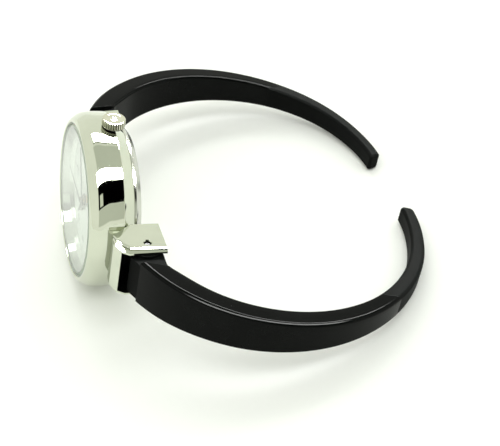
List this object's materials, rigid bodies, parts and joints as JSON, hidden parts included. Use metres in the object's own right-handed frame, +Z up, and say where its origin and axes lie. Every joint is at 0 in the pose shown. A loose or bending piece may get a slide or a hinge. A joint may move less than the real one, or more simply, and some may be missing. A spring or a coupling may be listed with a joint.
{
  "type": "cuff watch",
  "caption": "Round analogue cuff watch: polished case, white dial, fluted crown and tapered black arms that open on sprung hinges at the lugs.",
  "frame": {"origin": "centre of the bounding box on the floor, with the watch lying on its 9 o'clock side and both arm tips", "axes": "+Z up from the floor, +Y from the case centre towards 12 o'clock, +X from the dial side towards the gap between the arm tips; the watch's own axis leans 13.59 degrees down towards the tips"},
  "size_m": [0.0574, 0.0708, 0.0288],
  "materials": {
    "polished_case": "mirror-polished silver-tone plating with soft machining marks",
    "case_back_steel": "fine circular brushing",
    "polished_ring": "polished silver-tone ring",
    "crown_metal": "polished, fluted edge",
    "arm_black": "black satin coating",
    "steel": "turned and polished steel",
    "spring_steel": "spring wire and strip",
    "crystal_glass": "flat polished mineral glass",
    "seal_rubber": "matt black",
    "crystal_seal": "translucent grey nylon",
    "dial_white": "white lacquer",
    "hand_metal": "silver-tone",
    "wheel_brass": "fine brushed brass",
    "plate_brass": "grained, nickel washed",
    "gear_plastic": "moulded natural acetal",
    "magnet_rotor": "dark sintered magnet with moulded pinion",
    "holder_plastic": "white moulded plastic",
    "core_iron": "dull nickel-iron sheet",
    "coil_copper": "enamelled copper wire",
    "board_green": "green laminate with copper tracks",
    "chip_black": "black moulded package",
    "can_metal": "drawn metal can",
    "battery_steel": "nickel-plated steel can"
  },
  "bodies": {
    "case": {"case_body": "polished_case", "case_back": "case_back_steel", "back_gasket": "seal_rubber", "crystal": "crystal_glass", "crystal_gasket": "crystal_seal", "inner_ring": "polished_ring", "dial": "dial_white", "movement_ring": "holder_plastic", "main_plate": "plate_brass", "train_bridge": "plate_brass", "bridge_screws": "steel", "clamp_screws": "steel", "coil_screws": "steel", "battery": "battery_steel", "battery_clamp": "spring_steel", "stator": "core_iron", "coil_core": "core_iron", "coil_winding": "coil_copper", "coil_bobbin": "gear_plastic", "circuit_board": "board_green", "circuit_chip": "chip_black", "quartz_can": "can_metal", "crown_tube": "steel", "hinge_pin_12": "steel", "hinge_pin_6": "steel"},
    "arm_twelve": {"arm_12": "arm_black", "hinge_spring_12": "spring_steel"},
    "arm_six": {"arm_6": "arm_black", "hinge_spring_6": "spring_steel"},
    "crown_seal": {"crown_seal": "seal_rubber"},
    "crown": {"crown": "crown_metal", "stem": "steel"},
    "sliding_pinion": {"sliding_pinion": "steel"},
    "setting_lever": {"setting_lever": "steel"},
    "yoke": {"yoke": "steel"},
    "minute_hand": {"minute_hand": "hand_metal", "cannon_pinion": "wheel_brass"},
    "hour_hand": {"hour_hand": "hand_metal", "hour_wheel": "wheel_brass"},
    "minute_wheel": {"minute_wheel": "wheel_brass"},
    "setting_wheel": {"setting_wheel": "wheel_brass"},
    "second_hand": {"second_hand": "hand_metal", "fourth_wheel": "wheel_brass"},
    "third_wheel": {"third_wheel": "wheel_brass"},
    "centre_wheel": {"centre_wheel": "wheel_brass"},
    "fifth_wheel": {"fifth_wheel": "gear_plastic"},
    "rotor": {"rotor": "magnet_rotor"}
  },
  "joints": [
    {"name": "arm_twelve_open", "type": "hinge", "parent": "case", "child": "arm_twelve", "pos_m": [-0.01826, 0.01716, 0.01289], "axis": [0.235, 0, 0.972], "range_deg": [0, 22], "stiffness_Nm_per_rad": 0.06, "springref_deg": -28.65},
    {"name": "arm_six_open", "type": "hinge", "parent": "case", "child": "arm_six", "pos_m": [-0.01826, -0.01716, 0.01289], "axis": [-0.235, 0, -0.972], "range_deg": [0, 22], "stiffness_Nm_per_rad": 0.06, "springref_deg": -28.65},
    {"name": "crown_pull", "type": "slide", "parent": "case", "child": "crown_seal", "axis": [0.235, 0, 0.972], "range_m": [0, 0.0008]},
    {"name": "crown_turn", "type": "hinge", "parent": "crown_seal", "child": "crown", "pos_m": [-0.01745, 0, 0.02762], "axis": [0.235, 0, 0.972], "continuous": true},
    {"name": "sliding_pinion_shift", "type": "slide", "parent": "crown", "child": "sliding_pinion", "axis": [-0.235, 0, -0.972], "range_m": [0, 0.0012]},
    {"name": "setting_lever_turn", "type": "hinge", "parent": "case", "child": "setting_lever", "pos_m": [-0.01901, 0.0029, 0.02146], "axis": [0.972, 0, -0.235], "range_deg": [-16, 0]},
    {"name": "yoke_turn", "type": "hinge", "parent": "case", "child": "yoke", "pos_m": [-0.01963, -0.0026, 0.01893], "axis": [0.972, 0, -0.235], "range_deg": [-9, 0]},
    {"name": "minute_hand_turn", "type": "hinge", "parent": "case", "child": "minute_hand", "pos_m": [-0.02579, 0, 0.01471], "axis": [0.972, 0, -0.235], "continuous": true},
    {"name": "hour_hand_turn", "type": "hinge", "parent": "case", "child": "hour_hand", "pos_m": [-0.02579, 0, 0.01471], "axis": [0.972, 0, -0.235], "continuous": true},
    {"name": "minute_wheel_turn", "type": "hinge", "parent": "case", "child": "minute_wheel", "pos_m": [-0.02049, 0.00108, 0.01536], "axis": [0.972, 0, -0.235], "continuous": true},
    {"name": "setting_wheel_turn", "type": "hinge", "parent": "case", "child": "setting_wheel", "pos_m": [-0.01996, 0, 0.01757], "axis": [0.972, 0, -0.235], "continuous": true},
    {"name": "second_hand_turn", "type": "hinge", "parent": "case", "child": "second_hand", "pos_m": [-0.02579, 0, 0.01471], "axis": [0.972, 0, -0.235], "continuous": true},
    {"name": "third_wheel_turn", "type": "hinge", "parent": "case", "child": "third_wheel", "pos_m": [-0.02059, 0.00249, 0.01494], "axis": [0.972, 0, -0.235], "continuous": true},
    {"name": "centre_wheel_turn", "type": "hinge", "parent": "case", "child": "centre_wheel", "pos_m": [-0.02579, 0, 0.01471], "axis": [0.972, 0, -0.235], "continuous": true},
    {"name": "fifth_wheel_turn", "type": "hinge", "parent": "case", "child": "fifth_wheel", "pos_m": [-0.02133, 0.00168, 0.0119], "axis": [0.972, 0, -0.235], "continuous": true},
    {"name": "rotor_turn", "type": "hinge", "parent": "case", "child": "rotor", "pos_m": [-0.02162, 0.00296, 0.01067], "axis": [0.972, 0, -0.235], "continuous": true}
  ],
  "couplings": [
    {"joint": "sliding_pinion_shift", "follows": "crown_pull", "ratio": 1.5},
    {"joint": "setting_lever_turn", "follows": "crown_pull", "rad_per_m": -344.83},
    {"joint": "yoke_turn", "follows": "crown_pull", "rad_per_m": -192.31},
    {"joint": "hour_hand_turn", "follows": "minute_hand_turn", "ratio": 0.083333},
    {"joint": "minute_wheel_turn", "follows": "minute_hand_turn", "ratio": -0.33333},
    {"joint": "setting_wheel_turn", "follows": "minute_hand_turn", "ratio": 0.6},
    {"joint": "third_wheel_turn", "follows": "second_hand_turn", "ratio": -0.13333},
    {"joint": "centre_wheel_turn", "follows": "second_hand_turn", "ratio": 0.016667},
    {"joint": "fifth_wheel_turn", "follows": "second_hand_turn", "ratio": -6},
    {"joint": "rotor_turn", "follows": "second_hand_turn", "ratio": 30}
  ]
}
